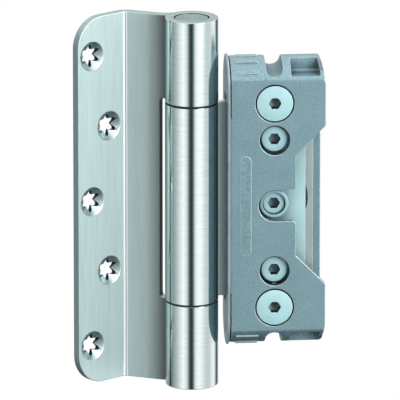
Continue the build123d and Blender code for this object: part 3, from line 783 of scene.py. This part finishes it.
def without_holes(piece, radius):
    """Closes the piece's screw holes, so that finer ones can be cut in it."""
    work = bmesh.new()
    work.from_mesh(piece.data)
    holed = [face for face in work.faces if all(near_hole(corner.co, radius) for corner in face.verts)]
    bmesh.ops.delete(work, geom=holed, context="FACES")
    bmesh.ops.holes_fill(work, edges=[edge for edge in work.edges if edge.is_boundary])
    bmesh.ops.recalc_face_normals(work, faces=work.faces)
    bmesh.ops.dissolve_limit(work, angle_limit=FLAT_ANGLE, verts=work.verts, edges=work.edges)
    work.to_mesh(piece.data)
    work.free()
    piece.data.update()


def cut_away(piece, cutter):
    """Takes the cutter's shape out of the piece and deletes the cutter."""
    cut = piece.modifiers.new("cut", "BOOLEAN")
    cut.operation = "DIFFERENCE"
    cut.solver = "EXACT"
    cut.use_self = True
    cut.object = cutter
    plain_result(piece)
    bpy.data.objects.remove(cutter)


def roll_seam(piece):
    """Cuts the fine upright joint where the rolled sheet of a knuckle closes."""
    mesh = bpy.data.meshes.new("roll_seam")
    work = bmesh.new()
    bmesh.ops.create_cube(work, size=1.0)
    work.to_mesh(mesh)
    work.free()
    across = Matrix.Diagonal((SEAM_WIDTH, 2 * SEAM_DEPTH, 2 * SEAM_HALF_LENGTH, 1.0))
    outward = Matrix.Rotation(SEAM_TURN, 4, "Z") @ Matrix.Translation((0.0, -KNUCKLE_RADIUS, 0.0))
    mesh.transform(outward @ across)
    mesh.update()
    cut_away(piece, new_piece("roll_seam", mesh))


class HINGE_OT_door_leaf(bpy.types.Operator):
    """Make the bent door leaf with its two knuckles and its star-shaped screw holes"""

    bl_idname = "hinge.door_leaf"
    bl_label = "Door leaf"

    def execute(self, context):
        sizes = context.scene.hinge_sizes
        piece = new_piece("door_leaf_dressed", merged_copy("door_leaf"))
        without_holes(piece, PLAIN_HOLE_RADIUS)
        give(piece, "flap", "fold", "knuckle", "edge", "sunk", "socket")
        holes = turned_piece("star_holes", star_hole_tree(), finish("sunk"))
        holes.data.transform(Matrix.Translation(FOLD_POINT) @ Matrix.Rotation(OUTER_FLAP_TURN, 4, "Z"))
        holes.data.update()
        cut_away(piece, holes)
        broken_edges(piece, sizes.leaf_edge, keep=lambda spot: near_hole(spot, HOLE_EDGE_RADIUS))
        roll_seam(piece)

        flap, fold, knuckle, cut, sunk, dark = range(6)

        def choose(centre, normal):
            away = centre - FOLD_POINT
            facing = abs(normal.dot(FLAP_FRONT))
            if near_hole(centre, HOLE_FINISH_RADIUS) and facing < 0.985:
                # steep walls of the star openings get the near-black painted shade
                return sunk if facing > 0.35 else dark
            reach = math.hypot(centre.x, centre.y)
            if reach < KNUCKLE_RADIUS + ON_SURFACE:
                if abs(normal.z) > 0.5:
                    return cut
                # the inside of the knuckle and its roll seam get the near-black painted shade
                return dark if reach < KNUCKLE_RADIUS - KNUCKLE_WALL else knuckle
            outer_edge = abs(normal.dot(FLAP_ACROSS)) > 0.8 and away.dot(FLAP_ACROSS) < -15 * MM
            if abs(normal.z) > 0.5 or outer_edge:
                return cut
            # the bend gets the fold finish with its painted highlight
            if math.hypot(away.x, away.y) < FOLD_WIDTH and normal.y < 0:
                return fold
            # the cut-out's edge beside the middle knuckle gets the near-black painted shade, so that it sets
            # the barrel off
            if normal.x > 0.7 and centre.x > CUT_OUT_LEFT and abs(centre.z) < CUT_OUT_END:
                return dark
            return flap

        paint_by(piece, choose)
        hand_over(piece, "door_leaf")
        return {"FINISHED"}


class HINGE_OT_frame_leaf(bpy.types.Operator):
    """Make the flag plate with the middle knuckle and its side follower"""

    bl_idname = "hinge.frame_leaf"
    bl_label = "Frame leaf"

    def execute(self, context):
        edge = context.scene.hinge_sizes.small_edge
        piece = new_piece("frame_leaf_dressed", merged_copy("frame_leaf"))
        for corner in piece.data.vertices:
            # a slightly shorter knuckle, so that the joints above and below it show as lines
            in_barrel = math.hypot(corner.co.x, corner.co.y) < KNUCKLE_RADIUS + ON_SURFACE
            if in_barrel and abs(corner.co.z) > KNUCKLE_END:
                corner.co.z -= math.copysign(KNUCKLE_JOINT, corner.co.z)
        work = bmesh.new()
        work.from_mesh(piece.data)
        bmesh.ops.bisect_plane(work, geom=[*work.verts, *work.edges, *work.faces],
                               plane_co=(NECK_END, 0.0, 0.0), plane_no=(1.0, 0.0, 0.0))
        work.to_mesh(piece.data)
        work.free()
        give(piece, "knuckle", "rolled", "neck", "socket")
        broken_edges(piece, edge)
        roll_seam(piece)

        knuckle, rolled, neck, dark = range(4)

        def choose(centre, normal):
            reach = math.hypot(centre.x, centre.y)
            if reach < KNUCKLE_RADIUS + ON_SURFACE:
                # the inside of the knuckle and its roll seam get the near-black painted shade
                return knuckle if reach > KNUCKLE_RADIUS - KNUCKLE_WALL or centre.x > 0 else dark
            # the neck beside the barrel gets the painted light of its finish
            return neck if centre.x < NECK_END else rolled

        paint_by(piece, choose)
        hand_over(piece, "frame_leaf")
        dress("side_follower", edge, "plated")
        return {"FINISHED"}


class HINGE_OT_bearings(bpy.types.Operator):
    """Make the pin, its bushes and the plugs that close the barrel"""

    bl_idname = "hinge.bearings"
    bl_label = "Pin and bearings"

    def execute(self, context):
        edge = context.scene.hinge_sizes.small_edge
        dress("hinge_pin", edge, "edge")
        for side in ("upper", "lower"):
            dress(side + "_bearing_bush", 0, "plastic")
            plug = new_piece(side + "_pin_socket_dressed", merged_copy(side + "_pin_socket"))
            for corner in plug.data.vertices:
                # a slightly thinner plug, so that the joint round it shows as a line
                reach = math.hypot(corner.co.x, corner.co.y)
                if reach > PLUG_RIM:
                    corner.co.x *= (reach - PLUG_JOINT) / reach
                    corner.co.y *= (reach - PLUG_JOINT) / reach
            give(plug, "turned")
            hand_over(broken_edges(plug, edge), side + "_pin_socket")
        return {"FINISHED"}


def in_bore(spot):
    """Whether a place is in one of the casting's front bores, behind the broken edge."""
    if spot.y < HOUSING_FACE + BROKEN_MOUTH:
        return False
    bores = ((LARGE_SCREW_HEIGHT, LARGE_BORE_RADIUS), (HEIGHT_SPINDLE_HEIGHT, SMALL_BORE_RADIUS))
    return any(math.hypot(spot.x - SCREW_COLUMN, abs(spot.z) - height) < radius for height, radius in bores)


class HINGE_OT_receiver(bpy.types.Operator):
    """Make the cast housing and its side flange"""

    bl_idname = "hinge.receiver"
    bl_label = "Receiver"

    def execute(self, context):
        sizes = context.scene.hinge_sizes
        piece = dress("receiver_housing", sizes.housing_edge, "cast", "bore", "wall")
        cast, bore, wall = range(3)

        def choose(centre, normal):
            # bore walls get the near-black painted shade
            if in_bore(centre) and abs(normal.y) < 0.5:
                return bore
            # the back wall behind the window gets its darker painted shade
            behind = centre.x > BACK_WALL and abs(centre.y) < WINDOW_HALF_DEPTH and normal.y < -0.3
            return wall if behind else cast

        paint_by(piece, choose)
        dress("side_flange", sizes.small_edge, "sheet")
        return {"FINISHED"}


class HINGE_OT_slides(bpy.types.Operator):
    """Make the carriage, the height plate and what is fixed to them"""

    bl_idname = "hinge.slides"
    bl_label = "Slides"

    def execute(self, context):
        edge = context.scene.hinge_sizes.small_edge
        dress("carriage", edge, "pale")
        plate = new_piece("height_plate_dressed", merged_copy("height_plate"))
        for corner in plate.data.vertices:
            # room in front of the plate, so that the spindles' shanks clear it as it slides
            if abs(corner.co.y - PLATE_FRONT) < ON_SURFACE:
                corner.co.y += PLATE_RELIEF
        give(plate, "plated")
        hand_over(broken_edges(plate, edge), "height_plate")
        dress("side_collar", edge, "collar")
        for side in ("upper", "lower"):
            dress(side + "_carriage_nut", edge, "plated")
            dress(side + "_height_washer", edge, "plated")
            dress(side + "_height_ring", 0, "spring")
            dress(side + "_compression_ring", 0, "spring")
        return {"FINISHED"}


def in_socket(column, height, face):
    """A chooser that gives the second finish, a near-black painted shade, to a hexagon socket's walls and the
    head's side.
    """
    head_side = 5.0 * MM
    top, bottom = face + 0.35 * MM, face + 4.5 * MM

    def choose(centre, normal):
        apart = math.hypot(centre.x - column, centre.z - height)
        in_reach = (apart < SOCKET_RADIUS or apart > head_side) and top < centre.y < bottom
        return 1 if in_reach and abs(normal.y) < 0.5 else 0

    return choose


def spindle(name, width, height, face):
    """A spindle in its finishes, its socket narrower, deeper and with a flat at the bottom."""
    piece = new_piece(name + "_dressed", merged_copy(name))
    centre = Vector((SCREW_COLUMN, 0.0, height))
    turn = Matrix.Rotation(math.radians(30), 3, "Y")
    socket_floor, socket_end = face + 2.5 * MM, face + 3.5 * MM
    for corner in piece.data.vertices:
        away = corner.co - centre
        if math.hypot(away.x, away.z) < SOCKET_RADIUS and corner.co.y < socket_end:
            away.x *= SOCKET_SHARE
            away.z *= SOCKET_SHARE
            corner.co = centre + turn @ away
            if corner.co.y > socket_floor:
                corner.co.y += SOCKET_DROP
    piece.data.update()
    give(piece, "spindle", "socket")
    broken_edges(piece, width)
    paint_by(piece, in_socket(SCREW_COLUMN, height, face))
    hand_over(piece, name)


class HINGE_OT_screws(bpy.types.Operator):
    """Make the compression screws and the three spindles"""

    bl_idname = "hinge.screws"
    bl_label = "Screws and spindles"

    def execute(self, context):
        sizes = context.scene.hinge_sizes
        tree = screw_tree()
        for side, way in (("upper", 1), ("lower", -1)):
            height = way * LARGE_SCREW_HEIGHT
            name = side + "_compression_screw"
            piece = turned_piece(name + "_turned", tree, finish("disc"), Height=height,
                                 Segments=sizes.screw_segments)
            give(piece, "disc", "socket")
            paint_by(piece, in_socket(SCREW_COLUMN, height, HOUSING_FACE))
            hand_over(piece, name)
            spindle(side + "_height_spindle", sizes.small_edge, way * HEIGHT_SPINDLE_HEIGHT,
                    HEIGHT_SPINDLE_FACE)
        spindle("side_spindle", sizes.small_edge, 0.0, SIDE_SPINDLE_FACE)
        return {"FINISHED"}


# how bright the ring of soft panels is, by the angle round the pin: 0 at the front, 90 at the right
RING = (
    (-180, 0.75), (-155, 0.65), (-135, 0.5), (-112, 0.4), (-104, 0.12), (-97, 0.35), (-90, 0.5),
    (-72, 0.78), (-55, 1.2), (-43, 1.5), (-32, 1.28), (-24, 0.92), (-17, 0.28), (-12, 0.05),
    (-3, 0.05), (2, 0.2), (7, 0.85), (16, 1.4), (30, 1.42), (45, 1.15), (62, 0.92), (80, 0.95),
    (95, 1.3), (112, 1.3), (122, 0.5), (130, 0.02), (142, 0.3), (158, 0.65), (180, 0.75),
)
CEILING = 1.55
# dim panels are a little cooler than bright ones, so that the dark bands in the metal look blue-green
RED_POWER = 1.16
BLUE_POWER = 0.98


def studio_world(tree):
    """A ring of soft panels round the hinge with dark gaps between, brighter above and dim below."""
    direction = add(tree, "ShaderNodeTexCoord").outputs["Generated"]
    parts = add(tree, "ShaderNodeSeparateXYZ", {0: direction}).outputs
    turn = calculate(tree, "ARCTAN2", parts["X"], calculate(tree, "MULTIPLY", parts["Y"], -1.0))
    around = calculate(tree, "MULTIPLY_ADD", turn, 1 / math.tau, 0.5)
    ring = shade_steps(tree, around, [((degrees + 180) / 360, shade) for degrees, shade in RING])
    height = calculate(tree, "MULTIPLY_ADD", parts["Z"], 0.5, 0.5)
    above = shade_steps(tree, height, [(0.0, 0.0), (0.68, 0.0), (0.8, 1.0), (1.0, 1.0)])
    below = shade_steps(tree, height, [(0.0, 0.12), (0.1, 0.15), (0.25, 0.4), (0.32, 0.95), (0.36, 1.0)])
    sides = calculate(tree, "MULTIPLY", ring, below)
    ceiling = calculate(tree, "MULTIPLY", above, CEILING)
    rest = calculate(tree, "SUBTRACT", 1.0, above)
    level = calculate(tree, "MULTIPLY_ADD", sides, rest, ceiling)
    red, blue = (calculate(tree, "POWER", level, power) for power in (RED_POWER, BLUE_POWER))
    light = add(tree, "ShaderNodeCombineXYZ", {"X": red, "Y": level, "Z": blue}).outputs["Vector"]
    # glossy rays see the ring and not the white, so that the metal shows soft bands
    paths = add(tree, "ShaderNodeLightPath").outputs
    seen = calculate(tree, "MAXIMUM", paths["Is Camera Ray"], paths["Is Transmission Ray"])
    shown = add(tree, "ShaderNodeMix", {"Factor": seen, "A": light, "B": WHITE}, data_type="RGBA")
    background = tree.nodes["Background"]
    tree.links.new(shown.outputs["Result"], background.inputs["Color"])


def floor_finish(colour):
    """Matt pale floor that shows white to the camera and keeps a soft shadow."""
    material, tree, shader, _ = new_finish("matt_pale_floor", colour, 0.0, 0.9)
    paths = add(tree, "ShaderNodeLightPath").outputs
    seen = calculate(tree, "MAXIMUM", paths["Is Camera Ray"],
                     calculate(tree, "MAXIMUM", paths["Is Glossy Ray"], paths["Is Transmission Ray"]))
    white = add(tree, "ShaderNodeEmission", {"Color": WHITE, "Strength": 1.0}).outputs[0]
    share = calculate(tree, "MULTIPLY", seen, 0.85)
    mix = add(tree, "ShaderNodeMixShader", {0: share, 1: shader.outputs[0], 2: white}).outputs[0]
    tree.links.new(mix, tree.nodes["Material Output"].inputs["Surface"])
    return material


def add_lamp(name, energy, size, place, glossy=True):
    """A square lamp aimed at the hinge, which no camera sees."""
    lamp = bpy.data.lights.new(name, "AREA")
    lamp.energy = energy
    lamp.size = size
    holder = bpy.data.objects.new(name, lamp)
    bpy.context.scene.collection.objects.link(holder)
    holder.location = place
    holder.rotation_euler = Vector(place).to_track_quat("Z", "Y").to_euler()
    holder.visible_camera = False
    holder.visible_glossy = glossy


class HINGE_OT_stage(bpy.types.Operator):
    """Make the camera, the lamps, the soft panels and the floor"""

    bl_idname = "hinge.stage"
    bl_label = "Stage"

    def execute(self, context):
        scene = context.scene
        studio = scene.hinge_studio
        scene.view_settings.view_transform = "Standard"
        level = math.cos(studio.elevation)
        back = Vector((math.sin(studio.azimuth) * level, -math.cos(studio.azimuth) * level,
                       math.sin(studio.elevation)))
        lens = bpy.data.cameras.new("camera")
        camera = bpy.data.objects.new("camera", lens)
        scene.collection.objects.link(camera)
        turn = back.to_track_quat("Z", "Y")
        aim = turn @ Vector((3.5 * MM, 0.35 * MM, 0.0))
        camera.location = aim + back * studio.distance
        camera.rotation_euler = turn.to_euler()
        lens.sensor_width = SENSOR_WIDTH
        lens.lens = SENSOR_WIDTH * studio.distance / studio.frame_width
        lens.clip_end = 20.0
        scene.camera = camera

        world = bpy.data.worlds.new("studio")
        world.use_nodes = True
        scene.world = world
        studio_world(world.node_tree)

        add_lamp("key", studio.key_light, 0.35, (-0.08, -0.35, 0.45), glossy=False)
        add_lamp("fill", studio.fill_light, 0.3, (0.54, -0.69, 0.22))

        work = bmesh.new()
        bmesh.ops.create_circle(work, cap_ends=True, segments=96, radius=0.9)
        mesh = bpy.data.meshes.new("floor")
        work.to_mesh(mesh)
        work.free()
        mesh.transform(Matrix.Translation((0.0, 0.0, -studio.floor_drop)))
        mesh.materials.append(floor_finish(studio.floor_colour))
        floor = new_piece("floor", mesh)
        # the metal and the undersides show the studio's dim lower half in its place
        floor.visible_glossy = False
        floor.visible_diffuse = False
        return {"FINISHED"}


class HINGE_PT_panel(bpy.types.Panel):
    """Lists the hinge's sizes and steps"""

    bl_idname = "HINGE_PT_panel"
    bl_label = "Door hinge"
    bl_space_type = "VIEW_3D"
    bl_region_type = "UI"
    bl_category = "Door hinge"

    def draw(self, context):
        for settings in (context.scene.hinge_sizes, context.scene.hinge_studio):
            for name in settings.__annotations__:
                self.layout.prop(settings, name)
        for operator in steps:
            self.layout.operator(operator.bl_idname)


steps = (
    HINGE_OT_door_leaf,
    HINGE_OT_frame_leaf,
    HINGE_OT_bearings,
    HINGE_OT_receiver,
    HINGE_OT_slides,
    HINGE_OT_screws,
    HINGE_OT_stage,
)
classes = (HingeSizes, StudioSettings, *steps, HINGE_PT_panel)


def register():
    for cls in classes:
        bpy.utils.register_class(cls)
    bpy.types.Scene.hinge_sizes = PointerProperty(type=HingeSizes)
    bpy.types.Scene.hinge_studio = PointerProperty(type=StudioSettings)


def unregister():
    del bpy.types.Scene.hinge_studio
    del bpy.types.Scene.hinge_sizes
    for cls in reversed(classes):
        bpy.utils.unregister_class(cls)


def main():
    """Registers the classes and runs each step."""
    register()
    for operator in steps:
        group, name = operator.bl_idname.split(".")
        getattr(getattr(bpy.ops, group), name)()


if __name__ == "__main__":
    main()
